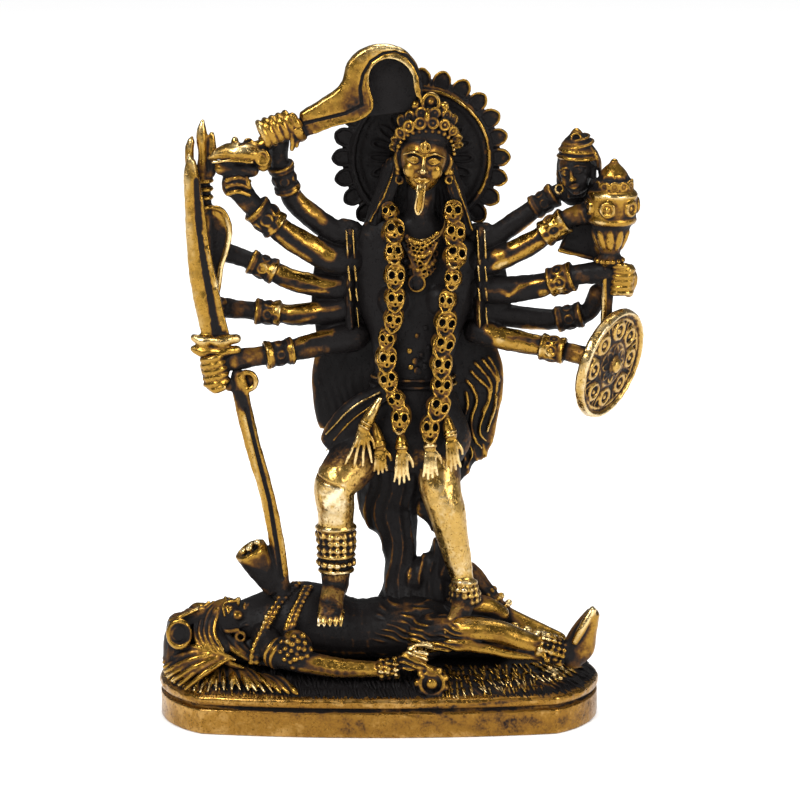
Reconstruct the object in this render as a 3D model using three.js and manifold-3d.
// A small cast brass figure of a ten-armed goddess who stands on a reclining god, on an oval plinth.
// The whole work is one casting, so it is one mesh. Millimetres, +Z up, the front faces -Y,
// and the origin is the centre of the plinth's underside.
import * as THREE from "three";
import { mergeVertices } from "three/addons/utils/BufferGeometryUtils.js";
import Module from "manifold-3d";

// Plinth sizes
const PLINTH_LENGTH = 75.6;
const PLINTH_DEPTH = 32;
const BAND_HEIGHT = 4.6;
const GROOVE_HEIGHT = 0.6;
const GROOVE_DEPTH = 0.7;
const RIM_HEIGHT = 1.5;
const PLINTH_HEIGHT = BAND_HEIGHT + GROOVE_HEIGHT + RIM_HEIGHT;
const RIM_BULGE = 0.3;
const TUFT_DEPTH = 0.4;
const CORNER_SPREAD = 1.9;

// The ground's steps above the plinth: how far each is drawn in, in millimetres, how high it is
// in shares of the figure's height, and how deep its tufts are against the tuft depth
const GROUND_STEPS = [
  { inset: 0.9, rise: 0.4, tuft: 1 },
  { inset: 3.6, rise: 2.6, tuft: -1 },
  { inset: 9, rise: 3.8, tuft: 0 },
];

// The figure stands on the plinth's top. Its pose and carving are shares of its own height:
// every point below is in 110ths of that height, measured from the plinth's top.
const FIGURE_HEIGHT = 110;
const HEIGHT_SHARES = 110;
const UNIT = FIGURE_HEIGHT / HEIGHT_SHARES;

// Halo sizes
const HALO_RADIUS = 15.4;
const HALO_RING_RADIUS = 11.7;
const HALO_THICKNESS = 2.2;
const PETAL_COUNT = 24;
const PETAL_NOTCH = 1.3;

// Counts of what repeats
const SKULLS_PER_STRAND = 9;
const FUR_TUFTS = 16;

// Material
const BRASS_COLOUR = 0x8a6426;
const BRASS_ROUGHNESS = 0.35;

const wasm = await Module();
wasm.setup();

const DEPTH_AXIS = new THREE.Vector3(0, 1, 0);
const SIDE_AXIS = new THREE.Vector3(1, 0, 0);
const ALONG_DEPTH = 0.3;

// A closed three.js geometry as a solid, with its faces turned outwards.
function solid(geometry) {
  const loose = geometry.index ? geometry.toNonIndexed() : geometry.clone();
  loose.deleteAttribute("normal");
  loose.deleteAttribute("uv");
  const merged = mergeVertices(loose, 1e-4);
  const vertProperties = merged.attributes.position.array;
  const triVerts = new Uint32Array(merged.index.array);
  if (signedVolume(vertProperties, triVerts) < 0) {
    for (let i = 0; i < triVerts.length; i += 3) {
      [triVerts[i + 1], triVerts[i + 2]] = [triVerts[i + 2], triVerts[i + 1]];
    }
  }
  return new wasm.Manifold(new wasm.Mesh({ numProp: 3, vertProperties, triVerts }));
}

function signedVolume(positions, triangles) {
  const corner = (i) => new THREE.Vector3().fromArray(positions, 3 * triangles[i]);
  let total = 0;
  for (let i = 0; i < triangles.length; i += 3) {
    total += corner(i).dot(corner(i + 1).cross(corner(i + 2)));
  }
  return total / 6;
}

// The union of a list of solids, joined in pairs so that no join has to carry everything.
function join(solids) {
  let layer = solids.flat(Infinity);
  while (layer.length > 1) {
    const next = [];
    for (let i = 0; i < layer.length; i += 2) {
      next.push(i + 1 < layer.length ? layer[i].add(layer[i + 1]) : layer[i]);
    }
    layer = next;
  }
  return layer[0];
}

// A closed skin over rings. Each ring is a function of an angle that gives a point.
function loft(rings, sides) {
  const geometry = new THREE.CylinderGeometry(1, 1, 1, sides, rings.length - 1);
  const position = geometry.attributes.position;
  for (let i = 0; i < position.count; i++) {
    const [x, y, z] = [position.getX(i), position.getY(i), position.getZ(i)];
    const ring = rings[Math.round((y + 0.5) * (rings.length - 1))];
    const point = Math.hypot(x, z) < 0.5 ? ring.centre : ring.at(Math.atan2(x, z));
    position.setXYZ(i, point.x, point.y, point.z);
  }
  return solid(geometry);
}

// A tapered limb through stations [x, y, z, width radius, depth radius]. The depth radius may be left out.
function limb(stations, sides = 6) {
  const centres = stations.map(([x, y, z]) => new THREE.Vector3(x, y, z).multiplyScalar(UNIT));
  const last = centres.length - 1;
  const rings = stations.map(([, , , width, depth = width], i) => {
    const heading = centres[Math.min(i + 1, last)].clone().sub(centres[Math.max(i - 1, 0)]).normalize();
    const across = new THREE.Vector3().crossVectors(heading, DEPTH_AXIS);
    if (across.length() < ALONG_DEPTH) across.crossVectors(heading, SIDE_AXIS);
    across.normalize();
    const back = new THREE.Vector3().crossVectors(across, heading);
    const at = (angle) =>
      centres[i]
        .clone()
        .addScaledVector(across, Math.cos(angle) * width * UNIT)
        .addScaledVector(back, Math.sin(angle) * depth * UNIT);
    return { centre: centres[i], at };
  });
  return loft(rings, sides);
}

// An ellipsoid at [x, y, z] with radii [width, depth, height].
function ball([x, y, z], [width, depth, height], sides = 7, layers = 4) {
  const geometry = new THREE.SphereGeometry(1, sides, layers);
  geometry.rotateX(Math.PI / 2);
  geometry.scale(width * UNIT, depth * UNIT, height * UNIT);
  geometry.translate(x * UNIT, y * UNIT, z * UNIT);
  return solid(geometry);
}

// A turned form from one point to another. Its profile is [radius, share of the way] pairs.
function turned(from, to, profile, sides = 12) {
  const start = new THREE.Vector3(...from).multiplyScalar(UNIT);
  const end = new THREE.Vector3(...to).multiplyScalar(UNIT);
  const length = start.distanceTo(end);
  const points = profile.map(([radius, share]) => new THREE.Vector2(radius * UNIT, share * length));
  const closed = [new THREE.Vector2(0, points[0].y), ...points, new THREE.Vector2(0, points.at(-1).y)];
  const geometry = new THREE.LatheGeometry(closed, sides);
  const direction = end.clone().sub(start).normalize();
  geometry.applyQuaternion(new THREE.Quaternion().setFromUnitVectors(DEPTH_AXIS, direction));
  geometry.translate(start.x, start.y, start.z);
  return solid(geometry);
}

// A row of ribs from one point to another, such as fingers round a handle or toes side by side.
function ribs(from, to, radius, count = 4, sides = 6) {
  const profile = Array.from({ length: 2 * count + 1 }, (_, i) => [radius * (i % 2 ? 1 : 0.78), i / (2 * count)]);
  return turned(from, to, profile, sides);
}

// A flat plate with the outline [[x, z], ...], its middle at depth y.
function plate(outline, y, thickness, bevel = 0) {
  const shape = new THREE.Shape(outline.map(([x, z]) => new THREE.Vector2(x * UNIT, z * UNIT)));
  const flat = thickness * UNIT - 2 * bevel * UNIT;
  const geometry = new THREE.ExtrudeGeometry(shape, {
    depth: flat,
    bevelEnabled: bevel > 0,
    bevelThickness: bevel * UNIT,
    bevelSize: bevel * UNIT,
    bevelOffset: -bevel * UNIT,
    bevelSegments: 1,
  });
  geometry.rotateX(Math.PI / 2);
  geometry.translate(0, y * UNIT + flat / 2, 0);
  return solid(geometry);
}

// A point between two others.
function between(from, to, share) {
  return from.map((value, i) => value + (to[i] - value) * share);
}

// Plinth

// A point of the plinth's outline, which is a straight-sided oval, drawn in by an inset.
function ovalPoint(angle, inset, z) {
  const radius = PLINTH_DEPTH / 2 - inset;
  const straight = PLINTH_LENGTH / 2 - PLINTH_DEPTH / 2;
  const shift = straight * Math.max(-1, Math.min(1, CORNER_SPREAD * Math.sin(angle)));
  return new THREE.Vector3(shift + radius * Math.sin(angle), radius * Math.cos(angle), z);
}

function ovalRing(inset, z, tuft = 0) {
  const at = (angle) => ovalPoint(angle, inset + tuft * Math.cos(angle * FUR_TUFTS), z);
  return { centre: new THREE.Vector3(0, 0, z), at };
}

function plinth() {
  const grooveTop = BAND_HEIGHT + GROOVE_HEIGHT;
  return loft(
    [
      ovalRing(0, 0),
      ovalRing(0, BAND_HEIGHT),
      ovalRing(GROOVE_DEPTH, BAND_HEIGHT + GROOVE_HEIGHT / 2),
      ovalRing(0, grooveTop),
      ovalRing(-RIM_BULGE, PLINTH_HEIGHT - RIM_HEIGHT / 3),
      ...GROUND_STEPS.map(({ inset, rise, tuft }) => ovalRing(inset, PLINTH_HEIGHT + rise * UNIT, tuft * TUFT_DEPTH)),
    ],
    2 * FUR_TUFTS
  );
}

// The god who lies on the plinth, his head to the left

function lyingGod() {
  const torso = limb([[-26, -2, 9, 2.8, 3.4], [-20.6, -2, 10.2, 4.6, 5.4], [-13, -1.4, 10, 6.9, 7.4], [-4, -0.5, 8, 5.4, 6.8], [7, 0, 8.4, 5.8, 7], [20, -1, 6.4, 3.4, 5]], 8);
  const head = ball([-27.4, -3.2, 10.2], [4.6, 4.5, 4.5], 7, 4);
  const nose = limb([[-27.2, -6, 12.6, 1.2], [-25.2, -6.2, 14.2, 0.9]], 3);
  const locks = [
    limb([[-30.4, -4.4, 12.6, 1.5], [-29.8, -7.6, 8.8, 1.6], [-26.4, -8.8, 4.8, 1.3]], 4),
    limb([[-28.4, -4.6, 13.6, 1.4], [-27.2, -8, 9.4, 1.5], [-23.4, -9, 5.4, 1.2]], 4),
    limb([[-32.6, -3, 11.6, 2, 3], [-34.2, -3, 7.4, 2.7, 4], [-34.6, -3, 2.4, 2.7, 5]], 5),
    limb([[-31, 3, 9, 3], [-28, 5, 3.6, 3.6]], 5),
  ];
  const topknot = turned([-34.6, -8.6, 8], [-33.8, -3, 8.4], [[0.9, 0.3], [1.3, 0], [2.6, 0.1], [2.6, 1]], 6);
  const nearArm = [
    limb([[-19.6, -6.6, 9, 2.6], [-17.8, -10, 7, 2.7], [-15, -11.3, 6.1, 2.4], [-14.4, -11.5, 6, 1.9], [-8, -12.2, 4.7, 1.8], [-1, -12.6, 4.4, 1.4]], 5),
    limb([[-1, -12.6, 4.4, 2], [3.6, -12.6, 5, 2], [4, -12.4, 5.6, 1.4], [7.6, -12, 7.2, 1.8, 1.5], [10, -12.4, 6.2, 1.2]], 5),
  ];
  const drum = turned([9, -15, 2.8], [9, -10.6, 3.6], [[2, 0], [2.5, 0.08], [2.5, 0.4], [1.8, 1]], 8);
  const farArm = limb([[-18, 5, 8.4, 2.6], [-12, 9.5, 5.4, 2.1], [3, 9.6, 4.4, 1.5]], 5);
  const nearLeg = [
    limb([[8, -4.5, 8, 4.4], [12, -7.4, 10, 2.6, 2.8], [19, -9, 10, 2, 2.4], [27.6, -9, 7.8, 1.8], [28, -9, 7.6, 2.4], [31.4, -8.9, 6.6, 2.3], [33, -8.8, 6.2, 1.6]], 5),
    limb([[32.4, -8.6, 5, 1.9], [34.8, -8.6, 7.6, 2.3, 2], [36.2, -8.6, 10.8, 1.7, 2], [37, -8.6, 13.4, 0.9, 1.5]], 5),
  ];
  const farLeg = [
    limb([[9, 4, 9, 4.6], [13, 6, 14.6, 3.4], [15.4, 5.4, 16.6, 2.2], [19, 4.2, 12, 2.2]], 5),
    limb([[18.6, 4.3, 12.6, 2.6], [21.4, 3.4, 9.4, 2.4], [26, 2.5, 7.4, 1.8], [31.4, 1.2, 5.6, 1.3]], 5),
  ];
  const beads = [
    limb([[-12.4, -6, 15.4, 1], [-16.4, -8.2, 9.8, 1], [-19.4, -9.4, 4.6, 0.9]], 4),
    limb([[-9.8, -6.4, 15, 1], [-13.2, -9, 10, 1], [-13, -10.6, 6, 0.9]], 4),
  ];
  return join([torso, head, nose, locks, topknot, nearArm, drum, farArm, nearLeg, farLeg, beads]);
}

// The goddess's legs, skirt and trunk

function legs() {
  const bentLeg = [
    limb([
      [-1, 0, 42, 4.8, 4.2], [-4.6, -3.6, 38.4, 4.5, 4], [-7.4, -5.8, 34.6, 3.9], [-7.3, -4.8, 30.6, 3.5],
      [-7.3, -4.1, 26.4, 3.1], [-7.3, -4.1, 26, 3.5], [-7.3, -4, 24.4, 3.3], [-7.4, -3.7, 19, 2.9], [-7.4, -3.5, 17, 2.5],
    ]),
    limb([[-7.4, -3.2, 18, 2.6], [-8, -6, 15.8, 2.3, 2], [-8.3, -9.4, 12.6, 2, 1.4]]),
    ribs([-10.4, -9.6, 12.2], [-6.4, -10, 12.4], 1.1, 4, 4),
  ];
  const straightLeg = [
    limb([
      [9.4, 0, 41, 4.6, 4.2], [10.4, -2.6, 34, 3.7], [11.6, -3.4, 29.6, 3.3], [12.5, -3, 25.4, 2.9], [13.6, -3, 20.6, 2.5],
      [14.5, -3.4, 17.4, 1.9], [14.6, -3.5, 17, 2.3], [14.6, -3.7, 14.4, 2.4],
    ]),
    limb([[14.6, -3.4, 14.6, 2.2], [14, -6, 13, 2.1, 1.8], [13.2, -8.4, 10.8, 1.8, 1.4]]),
    ribs([11.2, -8.6, 10.6], [15, -8.8, 10.6], 1, 4, 4),
  ];
  return join([bentLeg, straightLeg]);
}

// An arm that hangs from the girdle, its hand down with four fingers apart.
function hangingArm(top, wrist, palm, length) {
  const [x, y, z] = palm;
  const fingers = [-1.5, -0.5, 0.5, 1.5].flatMap((step) => [
    [x + step * 0.95 - 0.4, z - length + 1.8],
    [x + step * 0.95 - 0.3, z - length],
    [x + step * 0.95 + 0.3, z - length],
  ]);
  const hand = [[x - 1.7, z + 0.6], ...fingers, [x + 1.9, z - length + 1.8], [x + 1.7, z + 0.6]];
  return [limb([[...top, 1], [...wrist, 1.1, 0.9], [...palm, 1.8, 0.9]], 4), plate(hand, y, 1.4)];
}

function skirt() {
  const cloth = limb([[6.2, 0, 51, 6.6, 4], [5.4, -0.6, 46, 10.2, 5], [5, -0.8, 40, 11.6, 5.8], [5.2, -0.2, 34, 8.4, 4.8]], 9);
  const hanging = [
    hangingArm([-0.8, -4.8, 49.8], [-2.8, -6, 46.8], [-3.6, -7.2, 43.6], 4),
    hangingArm([3.4, -6.4, 44.6], [3.5, -6.8, 42.6], [3.4, -6.9, 40.4], 4.3),
    hangingArm([8.4, -6.4, 44.4], [8.4, -6.8, 42.8], [8.6, -6.9, 41.2], 4),
    hangingArm([10.8, -5.4, 47.6], [11.8, -6, 45], [12.1, -6.4, 42.4], 3.8),
  ];
  return join([cloth, hanging]);
}

function trunk() {
  const body = limb([[5.8, 0.2, 50, 6.8, 4], [6, 0, 58, 7.6, 4.4], [6.2, 0.2, 68, 11.4, 4.6], [6.4, 0.6, 76.5, 10.6, 3.4], [7, 0.4, 80, 3, 2.6], [7.2, -0.4, 85, 2.5]], 9);
  const breasts = [2.9, 10].map((x) => ball([x, -3.4, 66], [2.8, 2.6, 2.8], 6, 3));
  const armlets = [-4.8, 16.8].map((x) => limb([[x, 0.4, 78, 1.2, 2.8], [x, 0.4, 70, 1.3, 3.8], [x, 0, 60.4, 1.2, 3.2]], 4));
  return join([body, breasts, armlets]);
}

// Hair

function hair() {
  const cape = limb([
    [7, 3.2, 88, 6.6, 2.8], [6.6, 3.4, 76, 10, 3], [5.4, 4, 62, 13.6, 3.2], [5, 4.4, 54, 16.4, 3.4], [4.9, 4.6, 47, 16.4, 3.5],
    [5.2, 4.4, 42, 15, 3.2], [4.6, 4.2, 38, 12.6, 3], [4.6, 3.8, 33.6, 9.4, 2.8], [5, 3.4, 29.6, 6, 2.6],
  ], 10);
  const column = limb([[2, 2.6, 35, 8, 3.2], [1.6, 3, 29.6, 5.8, 3], [3, 3, 25.2, 4, 2.8], [3.6, 3, 21.6, 3.2, 2.8], [3.8, 2.8, 16, 3.4, 3.2], [4.4, 2, 10, 6, 5]], 7);
  const tail = limb([[10.8, 2.4, 22, 2.2, 2.4], [10.6, 2.4, 17, 3.8, 3], [9.6, 2.2, 11, 5.4, 4]]);
  const bridge = limb([[9, -1, 30, 3, 2.4], [11.6, 0.6, 24, 1.6, 2.2], [12, 1.2, 18, 2.6]]);
  const strands = [0.5, 1.6].map((i) => {
    const aside = 3.2 * i;
    const depth = 1.5 + 0.8 * i;
    return limb([[12.4 + 0.5 * aside, depth, 57 - 0.6 * aside, 0.8], [12 + aside, depth, 48.6, 0.9], [10.4 + aside, depth, 41.6, 0.6]], 3);
  });
  const locks = [
    limb([[3.6, -1.4, 90, 1.2], [2.4, -2, 83, 1.6], [-1.4, -1.4, 76.6, 2.2]], 5),
    limb([[11.8, -1.4, 90, 1.2], [12.6, -2, 83, 1.6], [15, -1.4, 76.6, 2.2]], 5),
  ];
  return join([cape, column, tail, bridge, strands, locks]);
}

// Head, crown and halo

function head() {
  const skull = ball([7.7, -2.2, 90], [3.9, 4.3, 5.3], 8, 5);
  const jaw = ball([7.2, -3.2, 87], [2.9, 3.3, 3.1], 6, 4);
  const nose = limb([[7.5, -5.8, 91, 0.5], [7.4, -6.6, 88.6, 0.9]], 3);
  const tongue = limb([[7.3, -5.8, 86.4, 1, 0.6], [7, -6.8, 84, 1, 0.5], [6.9, -6.8, 81.2, 0.7, 0.5]], 4);
  const ears = [3.6, 11.7].map((x) => limb([[x, -1.4, 91, 0.7], [x, -1.6, 86.6, 1]], 4));
  const crown = turned([7.8, -2, 93.2], [8.7, -2, 101], [[3.9, 0], [4.4, 0.1], [4, 0.3], [3.1, 0.4], [2.4, 0.65], [0.4, 1]], 7);
  const points = [-1, 0, 1].map((turn) => {
    const [x, y] = [8 + 3.2 * turn, -2 - 3.8 * (1 - Math.abs(turn) * 0.5)];
    return limb([[x, y, 94.6, 1.2, 0.9], [x, y + 0.3, 98.2 - Math.abs(turn), 0.5]], 4);
  });
  return join([skull, jaw, nose, tongue, ears, crown, points]);
}

function halo() {
  const centre = [7.2, 5.6, 89.2];
  const [radius, ring, thick] = [HALO_RADIUS, HALO_RING_RADIUS, HALO_THICKNESS].map((size) => size / UNIT);
  const notch = radius - PETAL_NOTCH / UNIT;
  const outline = [];
  for (let i = 0; i < 3 * PETAL_COUNT; i++) {
    const angle = ((i / 3) / PETAL_COUNT) * 2 * Math.PI;
    const reach = i % 3 === 0 ? notch : radius;
    outline.push([centre[0] + reach * Math.sin(angle), centre[2] + reach * Math.cos(angle)]);
  }
  const petals = plate(outline, centre[1], thick * 0.8);
  const front = [centre[0], centre[1] - thick * 0.75, centre[2]];
  const back = [centre[0], centre[1] + thick / 2, centre[2]];
  const dish = turned(back, front, [[ring + 0.4, 0], [ring + 0.4, 1], [ring - 0.4, 1], [ring - 1, 0.7]], 14);
  return join([petals, dish]);
}

// Garland of skulls over the shoulders, and the ornaments of the chest

// A strand of skulls, which grow towards its lower end and sink halfway into the body behind.
function strand(points) {
  const curve = new THREE.CatmullRomCurve3(points.map((point) => new THREE.Vector3(...point)));
  const skull = [1.6, 2.4, 2];
  return Array.from({ length: SKULLS_PER_STRAND }, (_, i) => {
    const share = (i + 0.5) / SKULLS_PER_STRAND;
    const size = 0.8 + 0.2 * share;
    const { x, y, z } = curve.getPointAt(share);
    return ball([x, y + 0.8, z], skull.map((radius) => radius * size), 5, 3);
  });
}

function garland() {
  const left = [[1.8, -1.4, 81], [2.3, -3.6, 77], [2.3, -6, 69.7], [1.5, -5.4, 61.1], [1.2, -4.8, 55], [2.4, -5.6, 50.4], [3.6, -6.6, 47.6]];
  const right = [[12.4, -1.4, 81], [12.6, -3.4, 76.4], [11.6, -6, 68.8], [11, -5.4, 61.6], [10.3, -4.8, 54], [9.6, -5.6, 48.6], [8.6, -6.6, 46]];
  const heads = [ball([3.8, -6.8, 46.2], [1.9, 2, 2.7]), ball([8.5, -6.8, 44.8], [1.8, 2, 2.2])];
  const collar = limb([[3.8, -3, 75.6, 1.2], [6.8, -4.2, 73.2, 1.4], [10, -3, 75.6, 1.2]], 5);
  const pendant = turned([6.8, -5.8, 69], [6.8, -3, 69], [[1.4, 0], [1.7, 0.3], [1.7, 1]], 6);
  return join([strand(left), strand(right), heads, collar, pendant]);
}

// Arms. Each path is [elbow, forearm, cuff, wrist, palm], with the forearm's radius.
// The upper arms are one mass on each side, from which the forearms fan out.

const LEFT_ARMS = {
  blade: { radius: 2.1, path: [[-7.4, 1, 76], [-13.3, 0.5, 81.7], [-15.8, 0.1, 85.2], [-16.6, -1.4, 90], [-16.6, -3, 93.8]] },
  conch: { radius: 2.4, path: [[-8, -0.5, 72.2], [-14.3, -2, 76.6], [-17.8, -2.8, 79.4], [-21.4, -3.4, 82.8], [-23.8, -4.2, 87.4]] },
  trident: { radius: 2, path: [[-8, 0, 67.6], [-14, 0, 69], [-18.4, 0, 71], [-22.4, 0, 72.8], [-26, 0, 74]] },
  cleaver: { radius: 2, path: [[-8, 0, 63.4], [-14, 0, 63.2], [-17.4, 0, 63.5], [-21.6, 0, 63.9], [-26, 0, 64.4]] },
  sabre: { radius: 2.15, path: [[-7.4, -1.5, 59], [-11.8, -2.5, 58.1], [-15.2, -3.4, 57.6], [-20, -4.4, 57], [-24.4, -5.4, 56.6]] },
};
const RIGHT_ARMS = {
  head: { radius: 1.95, path: [[19, 1.2, 74.6], [23.8, 2, 78.2], [26.8, 2, 80.6], [30.4, 1.5, 83.6], [33, 0.4, 86]] },
  axe: { radius: 2.05, path: [[19, -0.4, 72], [25.4, -1.5, 75.4], [28.4, -2.1, 77.6], [32, -2.8, 80.4], [35.6, -4, 81.8]] },
  mace: { radius: 2.3, path: [[20, -0.4, 67], [26, -1, 68], [29.6, -1.7, 69.2], [33.4, -2.6, 70.6], [38, -4, 71.6]] },
  low: { radius: 2.1, path: [[20, 1.4, 62.6], [27, 1.3, 61.9], [31, 1.1, 61.9], [35.6, 0.6, 62.8], [37.2, -1, 67.8]] },
  shield: { radius: 2, path: [[18, -1.4, 60.2], [24.4, -2.2, 58.8], [28.2, -3, 58.2], [32, -3.9, 57.4], [38.4, -5.6, 56.3]] },
};

function arm({ path, radius }) {
  const [elbow, forearm, cuff, wrist, palm] = path;
  return limb([
    [...elbow, radius * 1.05],
    [...forearm, radius],
    [...between(forearm, cuff, 0.9), radius * 0.92],
    [...cuff, radius * 1.16],
    [...wrist, radius * 1.06],
    [...palm, radius * 0.95],
  ], 5);
}

function upperArms() {
  return [
    limb([[-6, 1, 78, 2.4, 1.8], [-8, 1, 71.6, 5.8, 2.4], [-8.6, 0.6, 65, 6.4, 2.2], [-7.6, 0, 57.6, 5.4, 2]]),
    limb([[18, 1, 77.6, 2.4, 1.8], [18.4, 1, 71, 4.6, 2.2], [19.4, 0.8, 65, 5.6, 2.2], [18.6, 0, 59, 3.8, 2]]),
  ];
}

// A fist round a handle, its fingers side by side along the handle.
function fist(centre, along, size = 1) {
  const half = new THREE.Vector3(...along).setLength(2 * size).toArray();
  const from = centre.map((value, i) => value - half[i]);
  const to = centre.map((value, i) => value + half[i]);
  return ribs(from, to, 2.1 * size, 4, 4);
}

function arms() {
  return join([
    upperArms(),
    Object.values(LEFT_ARMS).map(arm),
    Object.values(RIGHT_ARMS).map(arm),
    fist([-16.4, -4, 94.6], [0.9, 0, 0.35], 1.15),
    fist([-26.8, -6.2, 56.4], [0.2, 0, -1], 1.35),
    fist([40.6, -4.8, 70], [0.1, 0, 1], 1.5),
    fist([35.4, -4.4, 81.6], [0.9, 0, 0.3], 0.85),
  ]);
}

// What the left hands hold

function raisedBlade() {
  const outline = [
    [-13, 98.2], [-6.6, 102.8], [-5.2, 106.6], [-2.8, 109], [0.4, 109.9], [3.7, 109.2], [6, 107.1], [7.1, 104], [7.4, 99.6],
    [5.6, 101.6], [5.5, 103.6], [4.4, 105.3], [2.7, 106.4], [0.9, 106.4], [-0.7, 105.4], [-1.7, 103.4], [-1.2, 98], [-6.7, 96], [-13.2, 93.4],
  ];
  const grip = turned([-21, -4.2, 91.6], [-12.8, -4, 95.8], [[1, 0], [1.3, 0.1], [1.2, 0.75], [2.6, 0.85], [2.4, 1]], 7);
  const web = plate([[-1.4, 97.4], [-1.9, 103.4], [0.8, 106.6], [4.6, 105.6], [6.2, 101]], -2.6, 1.6);
  return [plate(outline, -4, 3, 0.5), web, grip];
}

function conch() {
  const shell = turned([-28, -5.2, 91], [-18.8, -4.8, 90.2], [[0.8, 0], [2.6, 0.4], [2.8, 0.7], [2, 1]], 6);
  const support = limb([[-24, -4, 86, 2.6], [-23, -4.6, 89.6, 3]], 5);
  return [shell, support];
}

function sabre() {
  const outline = [
    [-31.4, 92], [-31.6, 86], [-31.2, 76], [-30.3, 68], [-29.2, 59.8],
    [-24.7, 59.8], [-26.3, 68.6], [-27.5, 76], [-28.5, 84.4], [-29.6, 90.3],
  ];
  const guard = limb([[-30.3, -6, 59.6, 1.2], [-23.3, -6, 59.6, 1.2]], 6);
  const pommels = [ball([-22.2, -6, 53.1], [1.9, 1.4, 2], 5, 4), ball([-24.6, -6, 52.4], [1.2, 1.2, 1.1], 4, 3)];
  return [plate(outline, -5.6, 2, 0.6), guard, pommels];
}

function cleaverAndTrident() {
  const leaf = [[-29.6, 81], [-27.7, 82.2], [-25.8, 81.9], [-24.7, 80], [-24.4, 77.6], [-25.1, 74.7], [-26.1, 72], [-26.5, 68.7], [-28.4, 60.6], [-30, 66]];
  const shaft = limb([[-29.4, -2.6, 90, 1.7], [-28.7, -2.2, 81.6, 1.1], [-28.2, -2, 66, 1.2]], 4);
  const prongs = [
    limb([[-30.2, -2.8, 87.6, 1.2], [-31.3, -2.8, 90.6, 1], [-31.2, -2.8, 93.4, 0.6]], 4),
    limb([[-29.2, -2.6, 88, 1.4], [-29.3, -2.6, 93, 1.2], [-29.5, -2.6, 96.7, 0.5]], 4),
    limb([[-28.6, -2.8, 87.6, 1.3], [-27.8, -2.8, 91.4, 1.1], [-27.7, -2.8, 94.6, 0.6]], 4),
  ];
  return [plate(leaf, -2.2, 1.8), shaft, prongs];
}

function staff() {
  const shaft = limb([[-23.6, -6.2, 54, 1.3], [-22.7, -6.2, 48.6, 1.15], [-21.2, -6.2, 41.2, 1], [-19.6, -6, 33.8, 1], [-18.2, -5.8, 26, 1.15], [-17.1, -5, 18.9, 1.4], [-16.6, -4.4, 14.6, 1.8]], 5);
  const bowl = turned([-22, -6, 24], [-17.6, -4.4, 16], [[2.2, 0.05], [2.4, 0], [3, 0.03], [2.4, 0.7], [2, 1]], 7);
  return [shaft, bowl];
}

// What the right hands hold

function heldHead() {
  const face = ball([33.2, -1.6, 87.8], [3.8, 3.6, 4], 7, 5);
  const cap = turned([33.1, -1.4, 88.8], [32.9, -1.2, 94.4], [[3.7, 0], [3.5, 0.3], [2.4, 0.6], [0.6, 1]], 7);
  return [face, cap];
}

function mace() {
  const profile = [
    [0.9, 0], [0.9, 0.42], [2, 0.44], [1.7, 0.48], [3.5, 0.63], [4.4, 0.66], [4.4, 0.77], [3.4, 0.82], [0.4, 1],
  ];
  return turned([38.1, -4.4, 59.6], [39.2, -5, 90.2], profile, 8);
}

function axe() {
  return plate([[32, 79], [30, 74], [33.1, 73.4], [37.6, 72.3], [37.7, 79.6]], -0.4, 2.6, 0.5);
}

function shield() {
  const centre = new THREE.Vector3(38.7, -6.2, 56.2);
  const facing = new THREE.Vector3(0.81, -0.535, -0.229);
  const front = centre.clone().addScaledVector(facing, 0.9).toArray();
  const back = centre.clone().addScaledVector(facing, -1.2).toArray();
  return turned(back, front, [[8.8, 0], [10, 0.4], [9.6, 1], [8.8, 0.8], [2.4, 1.1], [1.8, 1.4]], 14);
}

// Assembly

function figure() {
  const body = [lyingGod(), legs(), skirt(), trunk(), hair(), head(), halo(), garland(), arms()];
  const held = [raisedBlade(), conch(), sabre(), cleaverAndTrident(), staff(), heldHead(), mace(), axe(), shield()];
  return join([body, held]).translate([0, 0, PLINTH_HEIGHT]);
}

function geometryOf(manifold) {
  const { numProp, numVert, vertProperties, triVerts } = manifold.getMesh();
  const positions = new Float32Array(numVert * 3);
  for (let i = 0; i < numVert; i++) {
    positions.set(vertProperties.subarray(i * numProp, i * numProp + 3), i * 3);
  }
  const geometry = new THREE.BufferGeometry();
  geometry.setAttribute("position", new THREE.BufferAttribute(positions, 3));
  geometry.setIndex(new THREE.BufferAttribute(triVerts, 1));
  return geometry;
}

const material = new THREE.MeshStandardMaterial({
  color: BRASS_COLOUR,
  metalness: 1,
  roughness: BRASS_ROUGHNESS,
});
const casting = new THREE.Mesh(geometryOf(join([plinth(), figure()])), material);
casting.name = "kali_figure";

const model = new THREE.Group();
model.add(casting);
export default model;
